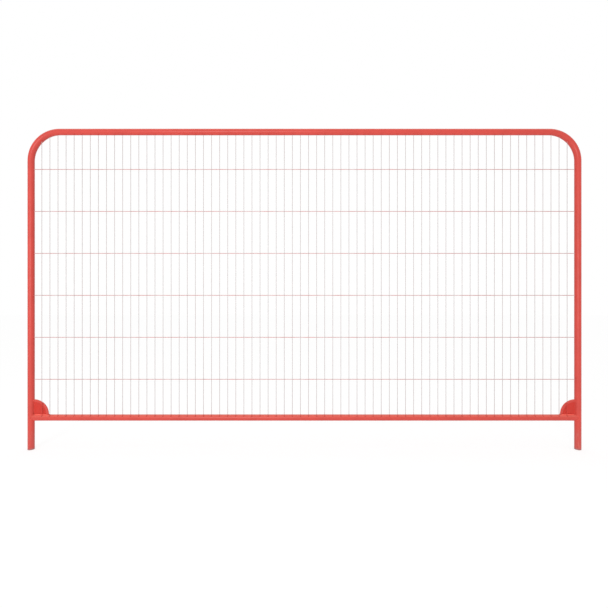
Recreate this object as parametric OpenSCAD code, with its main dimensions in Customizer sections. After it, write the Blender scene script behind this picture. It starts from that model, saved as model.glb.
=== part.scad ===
// Round-top mesh fence panel.
// A hoop of steel tube stands on its two legs, a bottom rail ties the legs together, pressed
// gussets stiffen the two bottom corners, and a welded wire mesh fills the hoop.
// +Z is up, +X runs along the panel, and the mesh is on the -Y side of the tubes.
// The origin is the middle of the left leg's foot.

/* [Panel] */
// Width over the two uprights
panel_w = 3435; // [1200:5:3600]
// Height from the feet to the top of the hoop
panel_h = 1990; // [1000:10:2300]
// Radius of the top corners, along the middle of the tube
bend_r = 180; // [90:5:300]
// Height of the bottom rail's axis above the feet
rail_h = 197; // [120:1:350]

/* [Tube] */
// Outside diameter of every tube in the frame
tube_d = 38; // [30:0.5:50]
// Wall of the tubes
tube_wall = 1.5; // [1:0.1:3]
// Root gap left for the weld where a coped end meets a tube
root_gap = 0.3; // [0.1:0.05:0.5]

/* [Wire mesh] */
// Diameter of the upright wires
upright_wire_d = 3; // [2:0.5:5]
// Diameter of the cross wires behind them
cross_wire_d = 4; // [2.5:0.5:6]
// Distance from one upright wire to the next
upright_pitch = 50; // [25:5:100]
// Distance from one cross wire to the next
cross_pitch = 260; // [100:5:300]
// Height of the lowest cross wire above the bottom rail's axis
first_cross_h = 239; // [60:0.5:300]
// Least free space between the last upright wire and the frame's upright
side_space = 50; // [20:5:100]
// How far the upright wires' axes lie in front of the tubes' axes
mesh_forward = 11; // [9:0.5:17]
// How deep the wires are pressed into each other at their welds
weld_set = 0.4; // [0.2:0.05:0.6]

/* [Gussets] */
// Radius of the corner gussets
gusset_r = 91; // [50:1:130]
// Height of the middle of the gussets' arcs above the top of the bottom rail
gusset_lift = 3.5; // [0:0.5:10]
// Thickness of the gusset's web
gusset_web = 3; // [2:0.5:6]
// Thickness of its raised rim
rim_thick = 8; // [7:0.5:12]
// Width of its raised rim
rim_w = 13; // [9:0.5:24]

/* [Hidden] */
$fn = 96;
frame_red = [0.86, 0.33, 0.29];
wire_grey = [0.74, 0.66, 0.63];

tube_r = tube_d / 2;
bore_r = tube_r - tube_wall;
span = panel_w - tube_d;         // from one upright's axis to the other's
top_z = panel_h - tube_r;        // height of the top rail's axis
bend_z = top_z - bend_r;         // height at which the uprights start to bend
overshoot = 1;                   // how far a cut runs past the face it opens

wire_sides = 8;
flat_share = tan(180 / wire_sides);   // width of a wire's flat, as a share of its diameter
cross_forward = mesh_forward - (upright_wire_d + cross_wire_d) / 2 + weld_set;

// How far the surface of a tube lies from its axis, at a depth in front of that axis
function tube_half(forward) = sqrt(tube_r * tube_r - forward * forward);
// How far inside the hoop's axis a wire stops when it comes to rest on the tube. seat is the
// tube's half width there, and past is how far the wire's outer edge lies beyond the bend's start.
function inset(seat, past) =
    past <= 0 ? seat : bend_r - sqrt(pow(bend_r - seat, 2) - past * past);

upright_seat = tube_half(mesh_forward - upright_wire_d / 2);
cross_seat = tube_half(cross_forward - cross_wire_d / 2);
upright_count = floor((span - tube_d - 2 * side_space) / upright_pitch) + 1;
first_upright_x = (span - (upright_count - 1) * upright_pitch) / 2;
first_cross_z = rail_h + first_cross_h;
cross_count = floor((top_z - tube_d - first_cross_z) / cross_pitch) + 1;

// A straight length of frame tube along +Z
module tube(length) {
    difference() {
        cylinder(r = tube_r, h = length);
        translate([0, 0, -overshoot]) cylinder(r = bore_r, h = length + 2 * overshoot);
    }
}

// A quarter turn of frame tube about the Y axis, from the left-hand side up to the top
module corner_bend() {
    rotate([90, 0, 0])
        rotate([0, 0, 90])
            rotate_extrude(angle = 90)
                translate([bend_r, 0]) difference() {
                    circle(r = tube_r);
                    circle(r = bore_r);
                }
}

// The space that an upright and its root gap take out of a coped end, around height z
module upright_cope(x, z, reach) {
    translate([x, 0, z - reach]) cylinder(r = tube_r + root_gap, h = 2 * reach);
}

// Section of the gusset from its inside corner out: a thin web that swells into a raised rim
// with a round nose
module gusset_profile() {
    rim_r = rim_thick / 2;
    rim_x = gusset_r - rim_r;
    shoulder = gusset_r - rim_w;
    slope = (rim_thick - gusset_web) / 2;
    polygon([
        [0, -gusset_web / 2], [shoulder - slope, -gusset_web / 2], [shoulder, -rim_r],
        [rim_x, -rim_r], [rim_x, rim_r], [shoulder, rim_r],
        [shoulder - slope, gusset_web / 2], [0, gusset_web / 2]
    ]);
    translate([rim_x, 0]) circle(r = rim_r);
}

// The left gusset. It rises straight from the bottom rail, and its arc then turns a little past
// the upright. Both edges are coped back to the tubes.
module corner_gusset() {
    tuck = 12;
    foot = gusset_lift + tube_r;
    difference() {
        translate([tube_r, 0, rail_h + foot]) {
            translate([0, 0, -foot]) linear_extrude(foot) gusset_profile();
            rotate([90, 0, 0]) rotate_extrude(angle = 90 + tuck) gusset_profile();
        }
        upright_cope(0, rail_h, 2 * gusset_r);
        translate([-tube_d, 0, rail_h]) rotate([0, 90, 0])
            cylinder(r = tube_r + root_gap, h = 2 * gusset_r + 2 * tube_d);
    }
}

// One wire along +Z, a bar whose flats face along X and Y
module wire(d, length) {
    rotate([0, 0, 180 / wire_sides])
        cylinder(d = d / cos(180 / wire_sides), h = length, $fn = wire_sides);
}

// One upright wire, x from the left upright's axis, from the bottom rail up to the hoop
module upright_wire(x) {
    outer_edge = min(x, span - x) - upright_wire_d * flat_share / 2;
    bottom = rail_h + upright_seat;
    top = top_z - inset(upright_seat, bend_r - outer_edge);
    translate([x, -mesh_forward, bottom]) wire(upright_wire_d, top - bottom);
}

// One cross wire at height z, from upright to upright
module cross_wire(z) {
    upper_edge = z + cross_wire_d * flat_share / 2;
    left = inset(cross_seat, upper_edge - bend_z);
    translate([left, -cross_forward, z]) rotate([0, 90, 0]) wire(cross_wire_d, span - 2 * left);
}

module left_upright() {
    color(frame_red) tube(bend_z);
}

module right_upright() {
    color(frame_red) translate([span, 0, 0]) tube(bend_z);
}

module left_bend() {
    color(frame_red) translate([bend_r, 0, bend_z]) corner_bend();
}

module right_bend() {
    color(frame_red) translate([span - bend_r, 0, bend_z]) mirror([1, 0, 0]) corner_bend();
}

module top_rail() {
    color(frame_red) translate([bend_r, 0, top_z]) rotate([0, 90, 0]) tube(span - 2 * bend_r);
}

module bottom_rail() {
    color(frame_red) difference() {
        translate([0, 0, rail_h]) rotate([0, 90, 0]) tube(span);
        upright_cope(0, rail_h, tube_d);
        upright_cope(span, rail_h, tube_d);
    }
}

module left_gusset() {
    color(frame_red) corner_gusset();
}

module right_gusset() {
    color(frame_red) translate([span, 0, 0]) mirror([1, 0, 0]) corner_gusset();
}

// The mesh: upright wires in front, cross wires behind, welded at every crossing
module wire_mesh() {
    color(wire_grey) union() {
        for (i = [0 : upright_count - 1]) upright_wire(first_upright_x + i * upright_pitch);
        for (k = [0 : cross_count - 1]) cross_wire(first_cross_z + k * cross_pitch);
    }
}

left_upright();
left_bend();
top_rail();
right_bend();
right_upright();
bottom_rail();
left_gusset();
right_gusset();
wire_mesh();
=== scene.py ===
"""Round-top mesh fence panel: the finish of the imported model, and the studio that shows it.

A hoop of bent tube stands on its two legs. A coped rail ties the legs together, a pressed gusset
fills each bottom corner, and a mesh of round wires is welded in front of the tubes' middle.
Every shape is a grid of points worked out with numpy, in metres and in the frame of the model.
"""
import logging
import math
from dataclasses import dataclass, field, replace
from enum import Enum
from typing import Iterable, Union

import bmesh
import bpy
import numpy as np
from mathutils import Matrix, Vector


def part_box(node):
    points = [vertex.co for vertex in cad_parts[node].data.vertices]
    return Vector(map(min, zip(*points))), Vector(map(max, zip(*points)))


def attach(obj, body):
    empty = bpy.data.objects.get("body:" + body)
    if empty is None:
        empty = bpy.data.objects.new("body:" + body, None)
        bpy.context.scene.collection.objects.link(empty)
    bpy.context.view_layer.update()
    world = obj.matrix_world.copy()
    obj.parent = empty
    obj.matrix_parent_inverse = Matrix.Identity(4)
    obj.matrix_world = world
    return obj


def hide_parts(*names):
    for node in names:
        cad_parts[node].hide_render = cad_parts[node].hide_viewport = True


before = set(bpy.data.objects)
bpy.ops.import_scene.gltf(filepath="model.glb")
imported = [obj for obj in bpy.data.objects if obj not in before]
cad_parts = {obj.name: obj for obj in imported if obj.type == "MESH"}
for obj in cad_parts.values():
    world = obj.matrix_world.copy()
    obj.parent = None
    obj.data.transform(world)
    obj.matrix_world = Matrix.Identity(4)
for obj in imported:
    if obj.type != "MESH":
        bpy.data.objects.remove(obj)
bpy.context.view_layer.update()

Array = np.ndarray
Material = bpy.types.Material
Triple = tuple[float, float, float]
Colour = Triple
Edge = tuple[float, float]
Value = Union["Field", float]
Port = Union[str, int]
MM = 0.001
BODY = "root"
ROUNDING = 1e-6
FRONT: Array = np.array([0.0, -1.0, 0.0])
LOG = logging.getLogger("fence_panel")


class Slot(Enum):
    """Material slots of the record."""

    FRAME_PAINT = "frame_paint"
    MESH_WIRE = "mesh_wire"


class Side(Enum):
    """The two uprights. The value is the direction along X in which the panel lies from each."""

    LEFT = 1
    RIGHT = -1


class Face(Enum):
    """The two faces of the panel. The value is the direction along Y in which each one looks."""

    FRONT = -1
    BACK = 1


# ---- Sizes ----


@dataclass(frozen=True)
class PanelMeasure:
    """Sizes of the steelwork. The boxes of the model's nodes give all but wall and root_gap."""

    left_x: float
    right_x: float
    tube_r: float
    bend_z: float
    top_z: float
    rail_z: float
    gusset_r: float
    gusset_lift: float
    rim_thick: float
    mesh_front: float
    mesh_back: float
    wall: float = 1.5 * MM
    root_gap: float = 0.3 * MM

    @classmethod
    def from_frame(cls) -> "PanelMeasure":
        """Reads the boxes of the nodes.

        Returns:
            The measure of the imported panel.
        """
        left_low, left_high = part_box("left_upright")
        right_low, right_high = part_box("right_upright")
        top_low, top_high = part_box("top_rail")
        rail_low, rail_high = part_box("bottom_rail")
        gusset_low, gusset_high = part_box("left_gusset")
        mesh_low, mesh_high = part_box("wire_mesh")
        gusset_r = gusset_high.x - left_high.x
        return cls(
            left_x=(left_low.x + left_high.x) / 2,
            right_x=(right_low.x + right_high.x) / 2,
            tube_r=(left_high.y - left_low.y) / 2,
            bend_z=left_high.z,
            top_z=(top_low.z + top_high.z) / 2,
            rail_z=(rail_low.z + rail_high.z) / 2,
            gusset_r=gusset_r,
            gusset_lift=gusset_high.z - rail_high.z - gusset_r,
            rim_thick=gusset_high.y - gusset_low.y,
            mesh_front=-mesh_low.y,
            mesh_back=-mesh_high.y,
        )

    @property
    def span(self) -> float:
        """Distance between the axes of the two uprights."""
        return self.right_x - self.left_x

    @property
    def middle_x(self) -> float:
        """Place of the panel's middle along X."""
        return (self.left_x + self.right_x) / 2

    @property
    def bend_r(self) -> float:
        """Radius of the top corners along the middle of the tube."""
        return self.top_z - self.bend_z

    def upright_x(self, side: Side) -> float:
        """Place of an upright's axis along X."""
        return self.left_x if side is Side.LEFT else self.right_x


# ---- Meshes ----


def stand(name: str, data: bpy.types.ID) -> bpy.types.Object:
    """Makes an object of a mesh, lamp or camera and links it into the scene."""
    made = bpy.data.objects.new(name, data)
    bpy.context.scene.collection.objects.link(made)
    return made


def xyz(*parts: Union[Array, float]) -> Array:
    """Points or directions from their X, Y and Z, which are spread to one shape."""
    return np.stack(np.broadcast_arrays(*parts), axis=-1)


def ring_angles(sides: int) -> Array:
    """Angles of the sides of a ring, from 0 up to one step short of the full turn."""
    return np.arange(sides) * (2 * math.pi / sides)


def ball_angles(rows: int, columns: int) -> tuple[Array, Array]:
    """Tilts from pole to pole, one for each row, and turns about the poles, one for each column."""
    return np.linspace(0, math.pi, rows)[:, None], ring_angles(columns)[None]


def ease(share: Array) -> Array:
    """Smooth step: 3 t squared less 2 t cubed, with t held between 0 and 1."""
    held = np.clip(share, 0.0, 1.0)
    return held * held * (3 - 2 * held)


def unit(vectors: Array) -> Array:
    """The vectors divided by their own lengths."""
    return vectors / np.linalg.norm(vectors, axis=-1, keepdims=True)


def part_along(vectors: Array, way: Array) -> Array:
    """The part of the vectors that lies along unit directions."""
    return np.sum(vectors * way, axis=-1, keepdims=True) * way


def ring_points(centre: Array, out: Array, along: Array, radius: Array, angle: Array) -> Array:
    """Carries a round profile along a path.

    A point is the centre, plus the radius times the cosine of the angle along out, plus the
    radius times its sine along the side direction, which is along crossed with out.

    Args:
        centre: Middles of the rings, shape (..., rows, 3).
        out: Unit directions of angle 0, of that shape.
        along: Unit directions of the path, of that shape.
        radius: Radii, of a shape that fits (..., rows, columns).
        angle: Angles round a ring, shape (columns,).

    Returns:
        Points of shape (..., rows, columns, 3).
    """
    side = np.cross(along, out)
    reach_out = (radius * np.cos(angle))[..., None] * out[..., None, :]
    reach_side = (radius * np.sin(angle))[..., None] * side[..., None, :]
    return centre[..., None, :] + reach_out + reach_side


@dataclass
class MeshDraft:
    """Grids of points that together make one piece."""

    name: str
    points: list[Array] = field(default_factory=list)
    quads: list[Array] = field(default_factory=list)
    finish: list[Array] = field(default_factory=list)
    count: int = 0

    def add(self, grids: Array, loop_rows: bool = False, finish: Union[int, Array] = 0) -> None:
        """Adds one grid, or many of one layout. The columns close on themselves.

        Quads join the points (row, column), (row, column + 1), (row + 1, column + 1) and
        (row + 1, column), so they face along the column direction crossed with the row's.

        Args:
            grids: Points of shape (rows, columns, 3) or (copies, rows, columns, 3).
            loop_rows: Whether the last row joins the first.
            finish: Material index of the faces, one number or an array that fits (rows, columns).
        """
        many = grids[None] if grids.ndim == 3 else grids
        copies, rows, columns, _ = many.shape
        index = np.arange(rows * columns).reshape(rows, columns)
        last = rows if loop_rows else rows - 1
        near = index[:last]
        far = np.roll(index, -1, axis=0)[:last]
        quad = np.stack([near, np.roll(near, -1, axis=1), np.roll(far, -1, axis=1), far], axis=-1)
        shift = self.count + np.arange(copies) * rows * columns
        self.quads.append((quad.reshape(1, -1, 4) + shift[:, None, None]).reshape(-1, 4))
        self.points.append(many.reshape(-1, 3))
        self.finish.append(np.tile(np.broadcast_to(finish, (last, columns)).ravel(), copies))
        self.count += copies * rows * columns

    def mesh(self, sharp_degrees: float) -> bpy.types.Mesh:
        """Puts the grids into a mesh, closes seams and poles and shades it smooth.

        Args:
            sharp_degrees: Edges that turn by more than this stay sharp.

        Returns:
            The new mesh.
        """
        points = np.concatenate(self.points).astype(np.float32)
        quads = np.concatenate(self.quads).astype(np.int32)
        mesh = bpy.data.meshes.new(self.name)
        mesh.vertices.add(len(points))
        mesh.vertices.foreach_set("co", points.ravel())
        mesh.loops.add(quads.size)
        mesh.loops.foreach_set("vertex_index", quads.ravel())
        mesh.polygons.add(len(quads))
        mesh.polygons.foreach_set("loop_start", np.arange(0, quads.size, 4, dtype=np.int32))
        mesh.polygons.foreach_set("material_index", np.concatenate(self.finish).astype(np.int32))
        mesh.update(calc_edges=True)
        close_doubles(mesh)
        mesh.shade_smooth()
        mesh.set_sharp_from_angle(angle=math.radians(sharp_degrees))
        return mesh

    def enter(
        self, slot: Slot, finishes: list[Material], *nodes: str, sharp_degrees: float = 35.0
    ) -> None:
        """Makes the piece, dresses it and enters it in the frame.

        Args:
            slot: Slot of the record that its finish belongs to; not used.
            finishes: Its materials, by material index.
            nodes: Nodes of the model that it stands for.
            sharp_degrees: Edges that turn by more than this stay sharp.
        """
        piece = stand(self.name, self.mesh(sharp_degrees))
        for finish in finishes:
            piece.data.materials.append(finish)
        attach(piece, BODY)
        if nodes:
            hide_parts(*nodes)
        LOG.info("%s: %d faces", piece.name, len(piece.data.polygons))


def close_doubles(mesh: bpy.types.Mesh, reach: float = 0.002 * MM) -> None:
    """Merges points closer than reach, which closes the seams and poles of a mesh."""
    work = bmesh.new()
    work.from_mesh(mesh)
    bmesh.ops.remove_doubles(work, verts=work.verts, dist=reach)
    work.to_mesh(mesh)
    work.free()


# ---- Shader expressions ----


@dataclass(frozen=True)
class Field:
    """A number, colour or vector that varies over a surface. Arithmetic on it adds Math nodes."""

    bench: "Bench"
    socket: bpy.types.NodeSocket

    def __add__(self, other: Value) -> "Field":
        """This field plus another or a number."""
        return self.bench.math("ADD", self, other)

    def __sub__(self, other: Value) -> "Field":
        """This field less another or a number."""
        return self.bench.math("SUBTRACT", self, other)

    def __rsub__(self, other: Value) -> "Field":
        """A number less this field."""
        return self.bench.math("SUBTRACT", other, self)

    def __mul__(self, other: Value) -> "Field":
        """This field times another or a number."""
        return self.bench.math("MULTIPLY", self, other)

    def __truediv__(self, other: Value) -> "Field":
        """This field divided by another or a number."""
        return self.bench.math("DIVIDE", self, other)

    def __abs__(self) -> "Field":
        """This field without its sign."""
        return self.bench.math("ABSOLUTE", self, 0.0)

    def sway(self, size: float) -> "Field":
        """This noise, which lies about 0.5, as a shift of up to half the size either way."""
        return (self - 0.5) * size

    def rise(self, start: float, end: float) -> "Field":
        """0 below start, 1 beyond end and a smooth step between. A start above end falls instead."""
        ends = {"Value": self, "From Min": start, "From Max": end}
        return self.bench.field("MapRange", "Result", ends, interpolation_type="SMOOTHSTEP")


class Bench:
    """Node tree of one material or of the world. Everything in it is added by fields."""

    def __init__(self, owner: Union[Material, bpy.types.World], place: str) -> None:
        """Clears the owner's nodes and reads its coordinates.

        Args:
            owner: Material or world to build.
            place: Coordinates to work in, as Texture Coordinate names them.
        """
        owner.use_nodes = True
        self.owner = owner
        self.tree = owner.node_tree
        self.tree.nodes.clear()
        self.place = self.field("TexCoord", place)
        self.x, _, self.z = self.axes(self.place)

    @classmethod
    def finish(cls, name: str) -> "Bench":
        """Starts a new material, in Object coordinates."""
        return cls(bpy.data.materials.new(name), "Object")

    def fields(
        self, kind: str, outputs: Iterable[Port], inputs: dict | None = None, **settings: str
    ) -> list[Field]:
        """Adds any node.

        Args:
            kind: Blender's type name of the node, without ShaderNode.
            outputs: Outputs that are wanted.
            inputs: Values or fields for its sockets.
            settings: Its properties, set first.

        Returns:
            The outputs, in the order asked for.
        """
        made = self.tree.nodes.new("ShaderNode" + kind)
        for key, value in settings.items():
            setattr(made, key, value)
        for port, value in (inputs or {}).items():
            if isinstance(value, Field):
                self.tree.links.new(value.socket, made.inputs[port])
            else:
                made.inputs[port].default_value = value
        return [Field(self, made.outputs[port]) for port in outputs]

    def field(self, kind: str, output: Port, inputs: dict | None = None, **settings: str) -> Field:
        """Adds a node and gives one of its outputs."""
        return self.fields(kind, [output], inputs, **settings)[0]

    def axes(self, vector: Field) -> list[Field]:
        """X, Y and Z of a vector, or red, green and blue of a colour."""
        return self.fields("SeparateXYZ", "XYZ", {"Vector": vector})

    def math(self, operation: str, first: Value, second: Value) -> Field:
        """One Math node on two values."""
        return self.field("Math", 0, {0: first, 1: second}, operation=operation)

    def seen(self) -> Field:
        """1 for rays from the camera, a glossy surface or glass, 0 for light that is scattered."""
        kinds = ("Is Camera Ray", "Is Glossy Ray", "Is Transmission Ray")
        camera, glossy, through = self.fields("LightPath", kinds)
        return self.math("MINIMUM", camera + glossy + through, 1.0)

    def noise(self, scale: float, detail: float = 2.0, stretch: Triple = (1.0, 1.0, 1.0)) -> Field:
        """Cloudy noise between 0 and 1.

        Args:
            scale: Clouds in a metre.
            detail: Octaves.
            stretch: Factors on X, Y and Z; below 1 the clouds grow longer that way.

        Returns:
            The noise.
        """
        place = self.field("Mapping", 0, {"Vector": self.place, "Scale": stretch})
        inputs = {"Vector": place, "Scale": scale, "Detail": detail}
        return self.field("TexNoise", 0, inputs, noise_dimensions="3D")

    def cells(self, scale: float) -> Field:
        """A random number between 0 and 1 for each cell, with scale cells in a metre."""
        inputs = {"Vector": self.place, "Scale": scale}
        return self.axes(self.field("TexVoronoi", "Color", inputs, feature="F1"))[0]

    def facing_up(self, least: float = 0.1) -> Field:
        """1 where the surface looks straight up, 0 where its normal's Z is least or below."""
        return self.axes(self.field("NewGeometry", "Normal"))[2].rise(least, 1.0)

    def blend(self, share: Value, first: Union[Field, Colour], second: Union[Field, Colour]) -> Field:
        """A colour between first, at share 0, and second, at share 1."""
        first, second = (end if isinstance(end, Field) else (*end, 1.0) for end in (first, second))
        return self.field("Mix", 2, {0: share, 6: first, 7: second}, data_type="RGBA")

    def bump(self, height: Field, depth: float, under: Field | None = None) -> Field:
        """A normal that a height field of the given depth in metres has shaken.

        Args:
            height: Height, from 0 to 1.
            depth: What a height of 1 stands for.
            under: Another bump that this one adds to.

        Returns:
            The normal.
        """
        inputs = {"Strength": 1.0, "Distance": depth, "Height": height}
        if under is not None:
            inputs["Normal"] = under
        return self.field("Bump", "Normal", inputs)

    def surface(self, **inputs: Value) -> Material:
        """Closes the material with a Principled shader.

        Args:
            inputs: Values or fields for the shader's sockets, with _ for a space.

        Returns:
            The finished material.
        """
        named = {key.replace("_", " "): value for key, value in inputs.items()}
        self.fields("OutputMaterial", (), {"Surface": self.field("BsdfPrincipled", 0, named)})
        return self.owner


# ---- Finishes ----


@dataclass(frozen=True)
class SprayedEnamel:
    """Red enamel sprayed over blasted steel: cloudy, slightly pebbled and scuffed low down.

    A scale counts clouds to the metre. An edge is where something starts to show and where it is
    full. A patch is how far a noise shifts a share or an edge, and rough is what is added to the
    roughness.
    """

    colour: Colour = (0.645, 0.074, 0.058)
    thick: Colour = (0.565, 0.064, 0.050)
    chalk_and_top_light: Colour = (0.84, 0.20, 0.15)
    low_tone: Colour = (0.38, 0.17, 0.17)
    steel: Colour = (0.30, 0.27, 0.25)
    roughness: float = 0.36
    cloud_rough: float = 0.10
    grain_rough: float = 0.12
    scuff_rough: float = 0.15
    gloss: float = 0.22
    bare_metallic: float = 0.9
    cloud_scale: float = 9.0
    grain_scale: float = 170.0
    streak_scale: float = 260.0
    streak_stretch: Triple = (1.0, 1.0, 0.09)
    thick_edge: Edge = (0.35, 0.75)
    thick_share: float = 0.8
    dust_and_top_light_share: float = 0.56
    dust_and_top_light_patch: float = 0.8
    scuff_edge: Edge = (0.54, 0.66)
    scuff_patch: float = 0.3
    scuff_share: float = 0.35
    scuff_height: Edge = (0.16, 0.06)
    chip_edge: Edge = (0.69, 0.74)
    chip_patch: float = 0.5
    leg_darkening: float = 0.12
    foot_darkening: float = 0.6
    darkening_patch: float = 0.5
    foot_edge: Edge = (13 * MM, 13 / 3 * MM)
    foot_ragged: float = 8 * MM
    rim_edge: Edge = (0.8 * MM, 0.4 * MM)
    pebble: float = 0.012 * MM
    pebble_scale: float = 420.0
    wave_ratio: float = 4.0
    wave_scale: float = 60.0

    def material(self, name: str) -> Material:
        """Mixes the enamel.

        Clouds a hand wide shift the colour towards thick paint, and what faces up is lightened, partly
        dust and partly painted light from above. Long upright scuffs turn pale and show bare steel
        near the feet, the legs turn darker and greyer towards the feet, most of all in their last
        centimetre, and the sawn rim is bare. The surface is finely pebbled, over waves that are
        wave_ratio times as deep.

        Args:
            name: Name of the material.

        Returns:
            The material.
        """
        bench = Bench.finish(name)
        clouds = bench.noise(self.cloud_scale, detail=4.0)
        grain = bench.noise(self.grain_scale, detail=3.0)
        streaks = bench.noise(self.streak_scale, detail=3.0, stretch=self.streak_stretch)
        low = bench.z.rise(*self.scuff_height)
        scuffed = (streaks + clouds.sway(self.scuff_patch)).rise(*self.scuff_edge) * low
        worn = (streaks + grain.sway(self.chip_patch)).rise(*self.chip_edge) * low
        bare = bench.math("MAXIMUM", worn, bench.z.rise(*self.rim_edge))
        # What faces up goes pale: partly dust, partly painted light from above on the tops of the
        # tubes.
        dust_and_top_light = bench.facing_up() * (grain.sway(self.dust_and_top_light_patch) + self.dust_and_top_light_share)
        thickened = clouds.rise(*self.thick_edge) * self.thick_share
        body = bench.blend(thickened, self.colour, self.thick)
        chalky_and_top_lit = bench.blend(dust_and_top_light + scuffed * self.scuff_share, body, self.chalk_and_top_light)
        # Darker and greyer towards the feet, most of all over the last centimetre.
        foot = (bench.z + streaks.sway(self.foot_ragged)).rise(*self.foot_edge)
        darkening = low * self.leg_darkening + foot * (clouds.sway(self.darkening_patch) + self.foot_darkening)
        darkened = bench.blend(darkening, chalky_and_top_lit, self.low_tone)
        shifts = grain.sway(self.grain_rough) + clouds.sway(self.cloud_rough)
        pebbled = bench.bump(bench.noise(self.pebble_scale), self.pebble)
        waves = bench.noise(self.wave_scale)
        return bench.surface(
            Base_Color=bench.blend(bare, darkened, self.steel),
            Metallic=bare * self.bare_metallic,
            Roughness=shifts + scuffed * self.scuff_rough + self.roughness,
            Specular_IOR_Level=self.gloss,
            Normal=bench.bump(waves, self.pebble * self.wave_ratio, pebbled),
        )


@dataclass(frozen=True)
class GalvanisedWire:
    """Drawn wire, galvanised, under red overspray that thickens where it comes near the frame."""

    colour: Colour = (0.575, 0.555, 0.545)
    dull: Colour = (0.475, 0.455, 0.445)
    overspray: Colour = (0.66, 0.05, 0.036)
    mist: float = 0.1
    reach: float = 8 * MM
    soaked: float = 0.3
    roughness: float = 0.62
    spangle_rough: float = 0.12
    grain_rough: float = 0.08
    metallic: float = 0.12
    spangle_share: float = 0.6
    spangle_scale: float = 320.0
    cloud_scale: float = 14.0
    grain_scale: float = 900.0
    grain_depth: float = 0.01 * MM

    def near_frame(self, bench: Bench, measure: PanelMeasure) -> Field:
        """1 within the soaked share of the overspray's reach of the frame, 0 beyond the reach.

        The free distance is the least of three. One is the height above the bottom rail. One is
        the square of the distance from the middle of the gusset's arc over the arc's radius, less
        that radius. One is the radius of the bends' inner edge less the length of the two
        distances by which a point passes that edge's centre.

        Args:
            bench: Bench of the wires' material.
            measure: Where the tubes and gussets lie.

        Returns:
            The share of overspray, with a grain along its edge.
        """
        side = measure.span / 2 - measure.tube_r - abs(bench.x - measure.middle_x)
        below = bench.z - (measure.rail_z + measure.tube_r)
        above = (measure.top_z - measure.tube_r) - bench.z
        inner_r = measure.bend_r - measure.tube_r
        past_side = bench.math("MAXIMUM", inner_r - side, 0.0)
        past_top = bench.math("MAXIMUM", inner_r - above, 0.0)
        past = bench.math("POWER", past_side * past_side + past_top * past_top, 0.5)
        clear = bench.math("MINIMUM", below, inner_r - past)
        up = below - measure.gusset_lift
        beyond = (side * side + up * up) / measure.gusset_r - measure.gusset_r
        clear = bench.math("MINIMUM", clear, beyond)
        ragged = clear + bench.noise(self.grain_scale).sway(self.reach)
        return ragged.rise(self.reach, self.soaked * self.reach)

    def material(self, name: str, measure: PanelMeasure) -> Material:
        """Mixes the finish of the wires.

        Zinc spangle a few millimetres wide shifts the grey, and mist is the share of overspray
        that lies all over.

        Args:
            name: Name of the material.
            measure: Where the tubes and gussets lie.

        Returns:
            The material.
        """
        bench = Bench.finish(name)
        spangle = bench.cells(self.spangle_scale)
        clouds = bench.noise(self.cloud_scale, detail=4.0)
        grain = bench.noise(self.grain_scale)
        veil = self.near_frame(bench, measure)
        shade = spangle * self.spangle_share + clouds * (1 - self.spangle_share)
        zinc = bench.blend(shade, self.colour, self.dull)
        misty = bench.blend(clouds * (2 * self.mist), zinc, self.overspray)
        sprayed = bench.blend(veil, misty, self.overspray)
        return bench.surface(
            Base_Color=sprayed,
            Metallic=self.metallic - veil * self.metallic,
            Roughness=spangle.sway(self.spangle_rough) + grain.sway(self.grain_rough) + self.roughness,
            Normal=bench.bump(grain, self.grain_depth),
        )


@dataclass(frozen=True)
class BoreSteel:
    """Bare inside of the tubes: mill scale with a bloom of rust."""

    scale: Colour = (0.11, 0.10, 0.095)
    rust: Colour = (0.20, 0.085, 0.045)
    metallic: float = 0.7
    roughness: float = 0.5
    rust_rough: float = 0.3
    bloom_scale: float = 70.0
    bloom_edge: Edge = (0.45, 0.65)
    grain_scale: float = 600.0
    grain_depth: float = 0.03 * MM

    def material(self, name: str) -> Material:
        """Mixes the bare steel.

        Args:
            name: Name of the material.

        Returns:
            The material.
        """
        bench = Bench.finish(name)
        bloom = bench.noise(self.bloom_scale, detail=5.0).rise(*self.bloom_edge)
        grain = bench.noise(self.grain_scale)
        return bench.surface(
            Base_Color=bench.blend(bloom, self.scale, self.rust),
            Metallic=self.metallic - bloom * self.metallic,
            Roughness=bloom * self.rust_rough + self.roughness,
            Normal=bench.bump(grain, self.grain_depth),
        )


# The coats of this panel. The webs and the tacks on the rail are darker, a painted shade, and the
# beads are thin and lighter, a painted highlight.
BEAD_PEBBLE = 0.04 * MM
ENAMEL = SprayedEnamel()
# Darker enamel of the gusset webs: painted shade.
SHADED_WEB_ENAMEL = replace(ENAMEL, colour=(0.615, 0.042, 0.029), thick=(0.535, 0.036, 0.024))
# Lighter enamel of the weld beads: painted highlight.
BEAD_HIGHLIGHT_ENAMEL = replace(ENAMEL, colour=(0.74, 0.085, 0.063), pebble=BEAD_PEBBLE)
# Lightest enamel, for the fillets along the rail: painted highlight on the rail's top.
RAIL_BEAD_HIGHLIGHT_ENAMEL = replace(BEAD_HIGHLIGHT_ENAMEL, colour=(0.93, 0.12, 0.09), thick=(0.86, 0.10, 0.075))
# Darker enamel of the rail tacks: painted contact shadow.
SHADED_TACK_ENAMEL = replace(BEAD_HIGHLIGHT_ENAMEL, colour=(0.45, 0.048, 0.038), thick=(0.39, 0.042, 0.033))
UPRIGHT_ZINC = GalvanisedWire()
CROSS_ZINC = replace(
    UPRIGHT_ZINC,
    colour=(0.71, 0.69, 0.685),
    dull=(0.59, 0.57, 0.565),
    overspray=(0.63, 0.06, 0.045),
    mist=0.5,
)


# ---- Tubes ----


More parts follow.
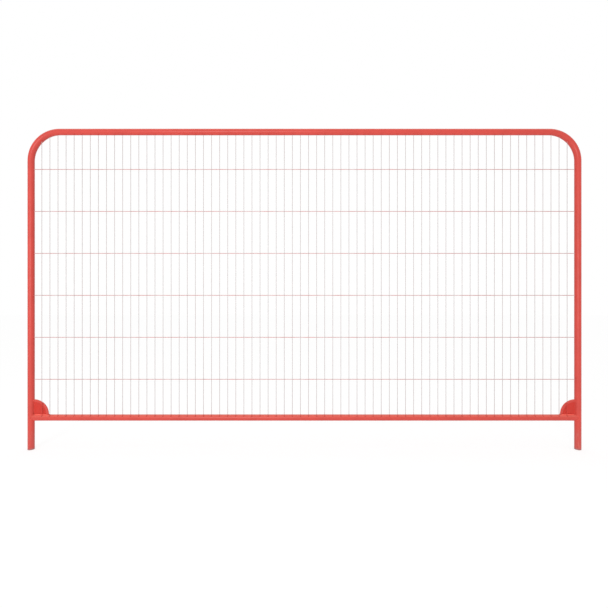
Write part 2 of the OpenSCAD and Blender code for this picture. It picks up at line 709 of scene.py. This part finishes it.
@dataclass(frozen=True)
class HoopLine:
    """Middle line of the hoop, from the left foot up, over and down to the right foot."""

    measure: PanelMeasure

    @property
    def marks(self) -> Array:
        """Runs at which the line changes: foot, bend, top, bend, leg, foot."""
        quarter = math.pi / 2 * self.measure.bend_r
        top = self.measure.span - 2 * self.measure.bend_r
        steps = [0.0, self.measure.bend_z, quarter, top, quarter, self.measure.bend_z]
        return np.cumsum(steps)

    def turns(self, run: Array) -> tuple[Array, Array]:
        """Angles that the line has turned by in the left and in the right bend."""
        marks = self.marks
        left = np.clip((run - marks[1]) / self.measure.bend_r, 0, math.pi / 2)
        right = np.clip((run - marks[3]) / self.measure.bend_r, 0, math.pi / 2)
        return left, right

    def at(self, run: Array) -> tuple[Array, Array, Array]:
        """Follows the line.

        Up the leg, then the bend's radius times 1 less the cosine of the turn across and times
        its sine up, then straight over, and the same downwards.

        Args:
            run: Distances from the left foot, shape (rows,).

        Returns:
            Places, directions into the hoop and directions of travel, each of shape (rows, 3).
        """
        marks = self.marks
        bend_r = self.measure.bend_r
        left, right = self.turns(run)
        up = np.minimum(run, marks[1])
        over = np.clip(run - marks[2], 0, marks[3] - marks[2])
        down = np.maximum(run - marks[4], 0)
        across = bend_r * (1 - np.cos(left)) + over + bend_r * np.sin(right)
        height = up + bend_r * np.sin(left) - bend_r * (1 - np.cos(right)) - down
        turn = left + right
        place = xyz(self.measure.left_x + across, 0.0, height)
        inward = xyz(np.cos(turn), 0.0, -np.sin(turn))
        along = xyz(np.sin(turn), 0.0, np.cos(turn))
        return place, inward, along


@dataclass(frozen=True)
class Hoop:
    """The bent tube: two legs, two corner bends and the top in one length."""

    measure: PanelMeasure
    rim_round: float = 0.35 * MM
    oval: float = 0.022
    sides: int = 64
    leg_rows: int = 16
    bend_rows: int = 30

    def wall_runs(self) -> Array:
        """Runs of the rings along one wall, from rim to rim and close together in the bends."""
        marks = HoopLine(self.measure).marks + self.rim_round * np.array([1, 0, 0, 0, 0, -1])
        rows = [self.leg_rows, self.bend_rows, self.leg_rows, self.bend_rows, self.leg_rows]
        stretches = zip(marks, marks[1:], rows, [False] * 4 + [True])
        return np.concatenate([np.linspace(*ends, count, last) for *ends, count, last in stretches])

    def build(self, paint: Material, bore: Material) -> None:
        """Sweeps the wall of the tube round the hoop.

        The rows run out along the outside, over the rounded rim of one foot, back along the
        inside and over the other rim, so the wall is one closed grid. In a bend the tube is
        squeezed in the plane of the hoop by oval times the sine of twice the turn, and spreads
        by half as much across it.

        Args:
            paint: Finish of the outside and the rims.
            bore: Finish of the inside.
        """
        line = HoopLine(self.measure)
        outer, inner = self.measure.tube_r, self.measure.tube_r - self.measure.wall
        runs = self.wall_runs()
        corner = self.rim_round * (1 - math.sqrt(0.5))
        rim_runs = np.array([corner, 0.0, 0.0, corner])
        rim_insets = np.array([-corner, -self.rim_round, self.rim_round, corner])
        rim_radii = np.array([outer, outer, inner, inner]) + rim_insets
        run = np.concatenate([runs, line.marks[-1] - rim_runs, runs[::-1], rim_runs[::-1]])
        walls = np.repeat([[outer], [inner]], len(runs), axis=1)
        radius = np.concatenate([walls[0], rim_radii, walls[1], rim_radii[::-1]])
        # The bore's finish starts at the inner corner of one rim and ends at that of the other.
        bore_start = len(runs) + len(rim_runs) - 1
        bare = np.zeros((len(run), 1), int)
        bare[bore_start:bore_start + len(runs) + 1] = 1
        place, inward, along = line.at(run)
        left, right = line.turns(run)
        squeeze = self.oval * (np.sin(2 * left) + np.sin(2 * right))
        angle = ring_angles(self.sides)
        grid = ring_points(place, inward, along, radius[:, None], angle)
        offset = grid - place[:, None, :]
        inward_part = part_along(offset, inward[:, None, :])
        across_part = offset - inward_part
        share = squeeze[:, None, None]
        grid = grid - share * inward_part + share / 2 * across_part
        draft = MeshDraft("hoop_tube")
        draft.add(grid, loop_rows=True, finish=bare)
        nodes = ("left_upright", "left_bend", "top_rail", "right_bend", "right_upright")
        draft.enter(Slot.FRAME_PAINT, [paint, bore], *nodes)


@dataclass(frozen=True)
class BottomRail:
    """The rail between the legs, with both ends coped to the uprights."""

    measure: PanelMeasure
    sides: int = 64
    rows: int = 24

    def build(self, paint: Material, bore: Material) -> None:
        """Sweeps the wall of the rail from cope to cope.

        At a height and depth round the tube the cope lies, from the upright's axis, at the root
        of the square of the upright's radius and gap less the square of the depth. The rows
        share out the length between the copes, along the outside and back along the inside.

        Args:
            paint: Finish of the outside.
            bore: Finish of the inside and the coped ends.
        """
        measure = self.measure
        outer, inner = measure.tube_r, measure.tube_r - measure.wall
        share = np.linspace(0.0, 1.0, self.rows)
        shares = np.concatenate([share, share[::-1]])[:, None]
        radius = np.repeat([outer, inner], self.rows)[:, None]
        angle = ring_angles(self.sides)
        depth = radius * np.sin(angle)
        height = radius * np.cos(angle)
        cope = np.sqrt((outer + measure.root_gap) ** 2 - depth ** 2)
        start = measure.left_x + cope
        end = measure.right_x - cope
        across = start + shares * (end - start)
        # The angle runs from up towards the front, which is counter-clockwise about +X.
        grid = xyz(across, -depth, measure.rail_z + height)
        bare = np.repeat([0, 1], self.rows)[:, None]
        draft = MeshDraft("bottom_rail_tube")
        draft.add(grid, loop_rows=True, finish=bare)
        draft.enter(Slot.FRAME_PAINT, [paint, bore], "bottom_rail")


# ---- Gussets ----


@dataclass(frozen=True)
class CornerGusset:
    """A pressed quarter disc on a low foot: a thin web that swells into a raised rim."""

    measure: PanelMeasure
    side: Side
    web: float = 3 * MM
    rim_width: float = 13 * MM
    swell: float = 6 * MM
    inner_edge: float = 1.5 * MM
    foot_rows: int = 3
    rows: int = 48
    web_steps: int = 14
    swell_steps: int = 8
    crown_steps: int = 4
    nose_steps: int = 13

    def profile(self) -> tuple[Array, Array]:
        """Outline of the section: out along the front of the web, round the nose and back.

        The half thickness is the web's, then eases up to the rim's over the swell, and the nose
        is a half circle. The last column runs down the middle of the inner edge.

        Returns:
            Distances from the corner and depths along Y, each of shape (columns,).
        """
        measure = self.measure
        half_rim = measure.rim_thick / 2
        nose = measure.gusset_r - half_rim
        shoulder = measure.gusset_r - self.rim_width
        marks = [self.inner_edge, shoulder - self.swell, shoulder, nose]
        steps = [self.web_steps, self.swell_steps, self.crown_steps]
        bands = zip(marks, marks[1:], steps)
        reach = np.concatenate([np.linspace(*ends, count, endpoint=False) for *ends, count in bands])
        rise = ease((reach - shoulder + self.swell) / self.swell)
        half = self.web / 2 + (half_rim - self.web / 2) * rise
        turn = np.linspace(-math.pi / 2, math.pi / 2, self.nose_steps)
        distance = np.concatenate([reach, nose + half_rim * np.cos(turn), reach[::-1], reach[:1]])
        depth = np.concatenate([-half, half_rim * np.sin(turn), half[::-1], [0.0]])
        return distance, depth

    def build(self, paint: Material, shaded_web_paint: Material) -> None:
        """Carries the section straight up from the rail, then round to the upright.

        The foot starts where it clears the rail and rises to the middle of the arc. From there
        a point turns about that middle at its own distance, up to the angle at which the cosine
        times the distance clears the upright. The first and last rows close the cut edges.

        Args:
            paint: Finish of the rim.
            shaded_web_paint: Darker finish of the web, a painted shade of the web that lies below the
                rim.
        """
        measure = self.measure
        distance, depth = self.profile()
        clear = np.sqrt((measure.tube_r + measure.root_gap) ** 2 - depth ** 2) - measure.tube_r
        to_go = np.linspace(1.0, 0.0, self.foot_rows)[:, None]
        share = np.linspace(0.0, 1.0, self.rows)[1:, None]
        angle = share * (math.pi / 2 - np.arcsin(clear / distance))
        angle = np.concatenate([0 * to_go + 0 * distance, angle])
        drop = np.concatenate([to_go * (measure.gusset_lift - clear), 0 * share + 0 * distance])
        out = distance * np.cos(angle)
        up = distance * np.sin(angle) - drop
        out, up = (np.concatenate([side[:1], side, side[-1:]]) for side in (out, up))
        depths = np.repeat(depth[None], len(out), axis=0)
        depths[[0, -1]] = 0.0
        corner_x = measure.upright_x(self.side) + self.side.value * measure.tube_r
        arc_z = measure.rail_z + measure.tube_r + measure.gusset_lift
        grid = xyz(corner_x + self.side.value * out, depths, arc_z + up)
        # The flat web takes the darker finish, a painted shade of the web below the raised rim.
        flat = distance < measure.gusset_r - self.rim_width - self.swell / 2
        if self.side is Side.RIGHT:
            grid, flat = grid[:, ::-1], flat[::-1]
        name = self.side.name.lower() + "_gusset"
        draft = MeshDraft(name + "_plate")
        draft.add(grid, finish=(flat & np.roll(flat, -1)).astype(int))
        draft.enter(Slot.FRAME_PAINT, [paint, shaded_web_paint], name)


# ---- Welds ----


@dataclass(frozen=True)
class WeldRun:
    """A bead of weld laid along a line, with ripples that trail behind its crown."""

    radius: float = 2.4 * MM
    ripple: float = 2.0 * MM
    crest: float = 0.13
    trail: float = 0.7
    rows_per_ripple: int = 5
    least_rows: int = 12
    sides: int = 12

    def grid(self, line: Array, out: Array) -> Array:
        """Carries the rippled bead along a line.

        The radius falls away from each ripple's middle by crest times the square of twice the
        distance from it. The ripple's phase is the run over the ripple's length, less trail
        times the square of the angle's share of the half turn. At both ends the radius closes
        like an ellipse.

        Args:
            line: Points of the line, closely spaced, shape (points, 3).
            out: Directions away from the steel, one per point, of shape (points, 3).

        Returns:
            A closed grid of shape (rows, columns, 3).
        """
        steps = np.linalg.norm(np.diff(line, axis=0), axis=-1)
        runs = np.concatenate([[0.0], np.cumsum(steps)])
        rows = max(self.least_rows, int(runs[-1] / self.ripple * self.rows_per_ripple))
        run = np.linspace(0.0, runs[-1], rows)
        centre, lean = (xyz(*(np.interp(run, runs, part) for part in path.T)) for path in (line, out))
        along = unit(np.gradient(centre, axis=0))
        lean = unit(lean - part_along(lean, along))
        angle = ring_angles(self.sides)
        half_turns = (np.remainder(angle + math.pi, 2 * math.pi) - math.pi) / math.pi
        phase = run[:, None] / self.ripple - self.trail * half_turns ** 2
        part = 2 * np.remainder(phase, 1.0) - 1
        nearest_end = np.minimum(run, runs[-1] - run)
        closing = np.sqrt(1 - np.clip(1 - nearest_end / self.radius, 0, 1) ** 2)
        radius = self.radius * (1 - self.crest * part ** 2) * closing[:, None]
        return ring_points(centre, lean, along, radius, angle)


@dataclass(frozen=True)
class FrameWelds:
    """Welds of the frame: saddles round the rail's ends and fillets along the gussets."""

    measure: PanelMeasure
    saddle: WeldRun = WeldRun(radius=3.0 * MM, ripple=2.4 * MM)
    rail_fillet: WeldRun = WeldRun(radius=4.4 * MM, ripple=2.6 * MM)
    rail_lean: float = 3.0 * MM
    upright_fillet: WeldRun = WeldRun()
    fillet_start: float = 0.07
    fillet_stop: float = 1 * MM
    saddle_start: float = 0.02
    points: int = 160

    def saddle_line(self, side: Side) -> tuple[Array, Array]:
        """Line where the rail meets an upright of its own size.

        Round the rail, the depth is the radius times the sine and the height times the cosine
        of the angle, which stops saddle_start short of the top on both sides. The line lies from
        the upright's axis at the root of the square of the radius less the square of the depth.

        Args:
            side: Upright that the rail meets.

        Returns:
            Points of the line and directions out of the corner there.
        """
        measure = self.measure
        turn = np.linspace(self.saddle_start, 2 * math.pi - self.saddle_start, self.points)
        depth = -measure.tube_r * np.sin(turn)
        height = measure.tube_r * np.cos(turn)
        away = np.sqrt(np.maximum(measure.tube_r ** 2 - depth ** 2, 0))
        line = xyz(measure.upright_x(side) + side.value * away, depth, measure.rail_z + height)
        from_upright = unit(xyz(side.value * away, depth, 0.0))
        from_rail = unit(xyz(0.0, depth, height))
        return line, unit(from_upright + from_rail)

    def gusset_lines(self, side: Side, face: Face) -> list[tuple[Array, Array]]:
        """Lines where one face of a gusset meets the rail and the upright.

        A line lies at half the gusset's thickness from its middle, and along the rail by
        rail_lean more, so that the fuller bead leans outwards there. At that depth it follows
        the tube's surface, which is the root of the radius squared less the depth squared.

        Args:
            side: Corner that the gusset is in.
            face: Face of the gusset.

        Returns:
            The line and its outward directions along the rail, then along the upright.
        """
        measure = self.measure
        distance, depth = CornerGusset(measure, side).profile()
        middle = len(distance) // 2
        run = np.linspace(self.fillet_start, 1.0, self.points)
        lines = []
        for lift, along_rail in ((0.0, True), (measure.gusset_lift, False)):
            reach = run * (measure.gusset_r + lift - self.fillet_stop)
            half = np.interp(reach - lift, distance[:middle], -depth[:middle])
            half = half + along_rail * self.rail_lean
            seat = np.sqrt(measure.tube_r ** 2 - half ** 2)
            away = measure.tube_r + reach
            over, up = (away, seat) if along_rail else (seat, away)
            x = measure.upright_x(side) + side.value * over
            line = xyz(x, face.value * half, measure.rail_z + up)
            out = (0.0, face.value, 1.0) if along_rail else (side.value, face.value, 0.0)
            lines.append((line, unit(np.broadcast_to(np.array(out, float), line.shape))))
        return lines

    def build(self, paint: Material, rail_highlight: Material) -> None:
        """Lays the saddles and fillets of each corner as one piece.

        Args:
            paint: Finish of the saddles and of the fillets along the uprights, lighter than the tubes
                as a painted highlight.
            rail_highlight: Finish of the fillets along the rail, lighter still, a painted highlight on
                the rail's top.
        """
        for side in Side:
            draft = MeshDraft(side.name.lower() + "_corner_welds")
            draft.add(self.saddle.grid(*self.saddle_line(side)))
            for face in Face:
                along_rail, along_upright = self.gusset_lines(side, face)
                # Along the rail the fillets take the lightest finish, a painted highlight.
                draft.add(self.rail_fillet.grid(*along_rail), finish=1)
                draft.add(self.upright_fillet.grid(*along_upright))
            draft.enter(Slot.FRAME_PAINT, [paint, rail_highlight], sharp_degrees=60.0)


# ---- Wire mesh ----


@dataclass(frozen=True)
class WireMesh:
    """The infill: upright wires in front, cross wires behind, a weld at every crossing."""

    measure: PanelMeasure
    upright_pitch: float = 50 * MM
    cross_pitch: float = 260 * MM
    first_cross: float = 239 * MM
    side_space: float = 50 * MM
    upright_d: float = 3 * MM
    cross_d: float = 4 * MM
    edge: float = 0.3 * MM
    sides: int = 12
    spot_reach: float = 1.9 * MM
    spot_thick: float = 1.5 * MM
    spot_flash: float = 0.35
    spot_rows: int = 5
    rail_tack: Triple = (3.6 * MM, 5.6 * MM, 2.6 * MM)
    rail_tack_forward: float = 1.8 * MM
    hoop_tack: Triple = (3.2 * MM, 3.0 * MM, 2.2 * MM)
    side_tack_forward: float = 0.8 * MM
    side_tack_scale: float = 1.2
    tack_lump: float = 0.1
    tack_turn: float = 2.4
    tack_rows: int = 7

    @property
    def upright_depth(self) -> float:
        """How far the upright wires' axes lie in front of the tubes' axes."""
        return self.measure.mesh_front - self.upright_d / 2

    @property
    def cross_depth(self) -> float:
        """How far the cross wires' axes lie in front of the tubes' axes."""
        return self.measure.mesh_back + self.cross_d / 2

    def upright_places(self) -> Array:
        """Places of the upright wires along X, about the middle. ROUNDING keeps a full count full."""
        free = self.measure.span - 2 * self.measure.tube_r - 2 * self.side_space
        count = int(free / self.upright_pitch + ROUNDING) + 1
        steps = np.arange(count) - (count - 1) / 2
        return self.measure.middle_x + steps * self.upright_pitch

    def cross_places(self) -> Array:
        """Heights of the cross wires, from the lowest up."""
        first = self.measure.rail_z + self.first_cross
        count = int((self.measure.top_z - 2 * self.measure.tube_r - first) / self.cross_pitch) + 1
        return first + np.arange(count) * self.cross_pitch

    def seat(self, depth: float) -> float:
        """Half width of a tube at a depth in front of its axis."""
        return math.sqrt(self.measure.tube_r ** 2 - depth ** 2)

    def top_line(self, x: Array, inset: float) -> tuple[Array, Array]:
        """Follows a line that lies inset inside the middle of the hoop's top and bends.

        It lies above the bends' centres by their radius less the inset. Past the start of a
        bend, that is the root of its square less the square of the distance past the start.

        Args:
            x: Places along X.
            inset: Distance inside the hoop's middle line.

        Returns:
            Heights of the line and directions into the hoop, of shape (n,) and (n, 3).
        """
        measure = self.measure
        offset = x - measure.middle_x
        past = np.maximum(np.abs(offset) - (measure.span / 2 - measure.bend_r), 0.0)
        reach = measure.bend_r - inset
        rise = np.sqrt(reach ** 2 - past ** 2)
        return measure.bend_z + rise, xyz(-np.sign(offset) * past, 0.0, -rise) / reach

    def rods(self, start: Array, end: Array, radius: float) -> Array:
        """Straight round wires between pairs of points, with broken edges and closed ends.

        Rows run from the pole of one end over its broken edge to the other. The columns turn
        about the wire's direction.

        Args:
            start: First ends, shape (wires, 3).
            end: Last ends, shape (wires, 3).
            radius: Radius of the wire.

        Returns:
            Points of shape (wires, rows, columns, 3).
        """
        edge = self.edge
        reach = np.linalg.norm(end - start, axis=-1)[:, None]
        along = unit(end - start)[:, None, :]
        near = np.broadcast_to([0.0, 0.0, edge], (len(reach), 3))
        runs = np.concatenate([near, reach - edge, reach, reach], axis=1)
        radii = np.array([0.0, radius - edge, radius, radius, radius - edge, 0.0])
        centre = start[:, None, :] + runs[..., None] * along
        out, path = (np.broadcast_to(way, centre.shape) for way in (FRONT, along))
        return ring_points(centre, out, path, radii[None, :, None], ring_angles(self.sides))

    def upright_rods(self) -> Array:
        """Grids of the upright wires, from the rail up to the hoop."""
        x = self.upright_places()
        y = -self.upright_depth
        inset = self.seat(self.upright_depth - self.upright_d / 2)
        outermost = x + np.sign(x - self.measure.middle_x) * self.upright_d / 2
        top, _ = self.top_line(outermost, inset)
        return self.rods(xyz(x, y, self.measure.rail_z + inset), xyz(x, y, top), self.upright_d / 2)

    def cross_rods(self) -> Array:
        """Grids of the cross wires, from upright to upright."""
        z = self.cross_places()
        y = -self.cross_depth
        inset = self.seat(self.cross_depth - self.cross_d / 2)
        left, right = self.measure.left_x + inset, self.measure.right_x - inset
        return self.rods(xyz(left, y, z), xyz(right, y, z), self.cross_d / 2)

    def crossing_welds(self) -> Array:
        """Grids of the fused spots between the wires.

        A spot is a ball squashed to spot_thick along Y. Its radius swells towards the four
        corners between the wires by spot_flash times the square of the sine of twice the angle.

        Returns:
            Points of shape (crossings, rows, columns, 3).
        """
        x, z = np.meshgrid(self.upright_places(), self.cross_places(), indexing="ij")
        mesh_middle = -(self.measure.mesh_front + self.measure.mesh_back) / 2
        y = mesh_middle - (self.upright_d - self.cross_d) / 2
        tilt, turn = ball_angles(self.spot_rows, self.sides)
        spread = self.spot_reach * np.sin(tilt) * (1 + self.spot_flash * np.sin(2 * turn) ** 2)
        ball = xyz(spread * np.sin(turn), -self.spot_thick * np.cos(tilt), spread * np.cos(turn))
        return xyz(x, y, z).reshape(-1, 1, 1, 3) + ball

    def tacks(self, foot: Array, inward: Array, along: Array, depth: float, size: Triple) -> Array:
        """Beads that hold wire ends on a tube.

        A bead sits on the tube where its surface lies at the given depth. It is a ball drawn
        out along the tube, across its surface and away from it by the three sizes, and lumped by
        tack_lump times the sine of three times the angle, which starts elsewhere on each bead.

        Args:
            foot: Points on the tube's axis beside the wire ends, shape (n, 3).
            inward: Directions from there into the panel, shape (n, 3).
            along: Directions of the tube, shape (n, 3).
            depth: Distance of the bead in front of the tube's axis.
            size: Half sizes along the tube, across its surface and out of it.

        Returns:
            Points of shape (n, rows, columns, 3).
        """
        lean = math.asin(depth / self.measure.tube_r)
        out = math.cos(lean) * inward + math.sin(lean) * FRONT
        centre = foot + self.measure.tube_r * out
        tilt, turn = ball_angles(self.tack_rows, self.sides)
        start = np.arange(len(foot))[:, None, None] * self.tack_turn
        lump = 1 + self.tack_lump * np.sin(3 * turn + start) * np.sin(tilt) ** 2
        ball = (np.sin(tilt) * np.cos(turn), np.sin(tilt) * np.sin(turn), -np.cos(tilt))
        ways = (along, np.cross(out, along), out)
        grown = sum(
            (part * lump * half)[..., None] * way[:, None, None, :]
            for part, half, way in zip(ball, size, ways)
        )
        return centre[:, None, None, :] + grown

    def rail_tacks(self) -> Array:
        """Grids of the tacks that hold the upright wires on the rail."""
        foot = xyz(self.upright_places(), 0.0, self.measure.rail_z)
        upward, along = (np.broadcast_to(way, foot.shape) for way in ((0, 0, 1), (-1, 0, 0)))
        depth = self.upright_depth + self.rail_tack_forward
        return self.tacks(foot, upward, along, depth, self.rail_tack)

    def hoop_tacks(self) -> list[Array]:
        """Grids of the tacks on the hoop's top and bends and on both uprights."""
        x, z = self.upright_places(), self.cross_places()
        inset = self.seat(self.upright_depth)
        top, inward = self.top_line(x, inset)
        foot = xyz(x, 0.0, top) - inset * inward
        along = np.cross(FRONT, inward)
        grids = [self.tacks(foot, inward, along, self.upright_depth, self.hoop_tack)]
        depth = self.cross_depth + self.side_tack_forward
        size = tuple(self.side_tack_scale * half for half in self.hoop_tack)
        for side in Side:
            foot = xyz(self.measure.upright_x(side), 0.0, z)
            ways = ((side.value, 0, 0), (0, 0, side.value))
            into, tube = (np.broadcast_to(way, foot.shape) for way in ways)
            grids.append(self.tacks(foot, into, tube, depth, size))
        return grids

    def build(self, upright: Material, cross: Material) -> None:
        """Makes the wires and their crossing welds.

        Args:
            upright: Finish of the upright wires.
            cross: Finish of the cross wires and the crossings.
        """
        named = (
            ("mesh_upright_wires", self.upright_rods(), upright),
            ("mesh_cross_wires", self.cross_rods(), cross),
            ("mesh_crossing_welds", self.crossing_welds(), cross),
        )
        for name, grids, finish in named:
            draft = MeshDraft(name)
            draft.add(grids)
            draft.enter(Slot.MESH_WIRE, [finish], "wire_mesh", sharp_degrees=50.0)

    def tack_ends(self, paint: Material, contact_shaded: Material) -> None:
        """Makes the tacks at the wires' ends, as one piece.

        Args:
            paint: Finish of the tacks on the hoop, which are sprayed with it.
            contact_shaded: Darker finish of the tacks on the rail, a painted contact shadow where the
                wire ends meet the rail.
        """
        draft = MeshDraft("mesh_end_tacks")
        for grid in self.hoop_tacks():
            draft.add(grid)
        # The rail tacks take the darker finish, a painted contact shadow.
        draft.add(self.rail_tacks(), finish=1)
        draft.enter(Slot.FRAME_PAINT, [paint, contact_shaded], sharp_degrees=80.0)


# ---- Studio ----


@dataclass(frozen=True)
class Studio:
    """A white studio: floor, surround, one large lamp in front and the camera."""

    measure: PanelMeasure
    sensor: float = 36.0
    lens: float = 23.39
    farthest: float = 200.0
    station: float = 2.455
    eye_height: float = 0.9025
    eye_left: float = 3 * MM
    surround: float = 0.41
    overhead: float = 0.55
    lamp_place: Triple = (-1.6, -6.5, 0.6)
    lamp_width: float = 1.8
    lamp_power: float = 200.0
    floor_width: float = 60.0
    floor_drop: float = 0.5 * MM
    floor_grey: float = 0.25
    floor_fill: float = 0.792
    floor_bounce: float = 0.85

    def camera(self) -> None:
        """Sets up the camera, level and square to the panel."""
        data = bpy.data.cameras.new("camera")
        data.sensor_width = self.sensor
        data.lens = self.lens
        data.clip_end = self.farthest
        camera = stand("camera", data)
        camera.location = (self.measure.middle_x - self.eye_left, -self.station, self.eye_height)
        camera.rotation_euler = (math.pi / 2, 0.0, 0.0)
        bpy.context.scene.camera = camera

    def world(self) -> None:
        """Surrounds the panel with plain light, strongest overhead, that looks white to the camera."""
        world = bpy.data.worlds.new("surround")
        bpy.context.scene.world = world
        bench = Bench(world, "Generated")
        light = bench.z.rise(0.0, 1.0) * self.overhead + self.surround
        seen = bench.seen()
        strength = seen + light * (1.0 - seen)
        shown = bench.field("Background", 0, {"Color": (1.0,) * 4, "Strength": strength})
        bench.fields("OutputWorld", (), {"Surface": shown})

    def floor(self) -> None:
        """Lays a pale floor under the feet, which looks white and keeps the panel's shadow."""
        half = self.floor_width / 2
        corners = [(-half, -half), (half, -half), (half, half), (-half, half)]
        points = [(self.measure.middle_x + x, y, -self.floor_drop) for x, y in corners]
        mesh = bpy.data.meshes.new("floor")
        mesh.from_pydata(points, [], [(0, 1, 2, 3)])
        bench = Bench.finish("studio_floor")
        mesh.materials.append(bench.surface(
            Base_Color=(self.floor_grey,) * 3 + (1.0,),
            Roughness=1.0,
            Specular_IOR_Level=0.0,
            Emission_Color=bench.blend(bench.seen(), (self.floor_bounce,) * 3, (1.0, 1.0, 1.0)),
            Emission_Strength=self.floor_fill,
        ))
        stand("floor", mesh)

    def lamp(self) -> None:
        """Hangs one broad lamp in front of the panel, a little to the left, turned to its middle."""
        light = bpy.data.lights.new("front_lamp", "AREA")
        light.shape = "SQUARE"
        light.size = self.lamp_width
        light.energy = self.lamp_power
        middle = Vector((self.measure.middle_x, 0.0, self.measure.top_z / 2))
        lamp = stand("front_lamp", light)
        lamp.location = middle + Vector(self.lamp_place)
        lamp.rotation_euler = (middle - lamp.location).to_track_quat("-Z", "Y").to_euler()

    def build(self) -> None:
        """Builds the whole studio."""
        self.camera()
        self.world()
        self.lamp()
        self.floor()


def main() -> None:
    """Builds the studio and the panel in order."""
    logging.basicConfig(level=logging.INFO, format="%(message)s")
    scene = bpy.context.scene
    scene.view_settings.view_transform = "Standard"
    measure = PanelMeasure.from_frame()
    Studio(measure).build()
    paint, bore = ENAMEL.material("sprayed_enamel"), BoreSteel().material("bore_steel")
    Hoop(measure).build(paint, bore)
    BottomRail(measure).build(paint, bore)
    shaded_web_paint = SHADED_WEB_ENAMEL.material("shaded_web_enamel")
    for side in Side:
        CornerGusset(measure, side).build(paint, shaded_web_paint)
    FrameWelds(measure).build(
        BEAD_HIGHLIGHT_ENAMEL.material("bead_highlight_enamel"), RAIL_BEAD_HIGHLIGHT_ENAMEL.material("rail_bead_highlight_enamel")
    )
    wires = WireMesh(measure)
    wires.build(
        UPRIGHT_ZINC.material("upright_wire", measure), CROSS_ZINC.material("cross_wire", measure)
    )
    wires.tack_ends(paint, SHADED_TACK_ENAMEL.material("shaded_tack_enamel"))


if __name__ == "__main__":
    main()
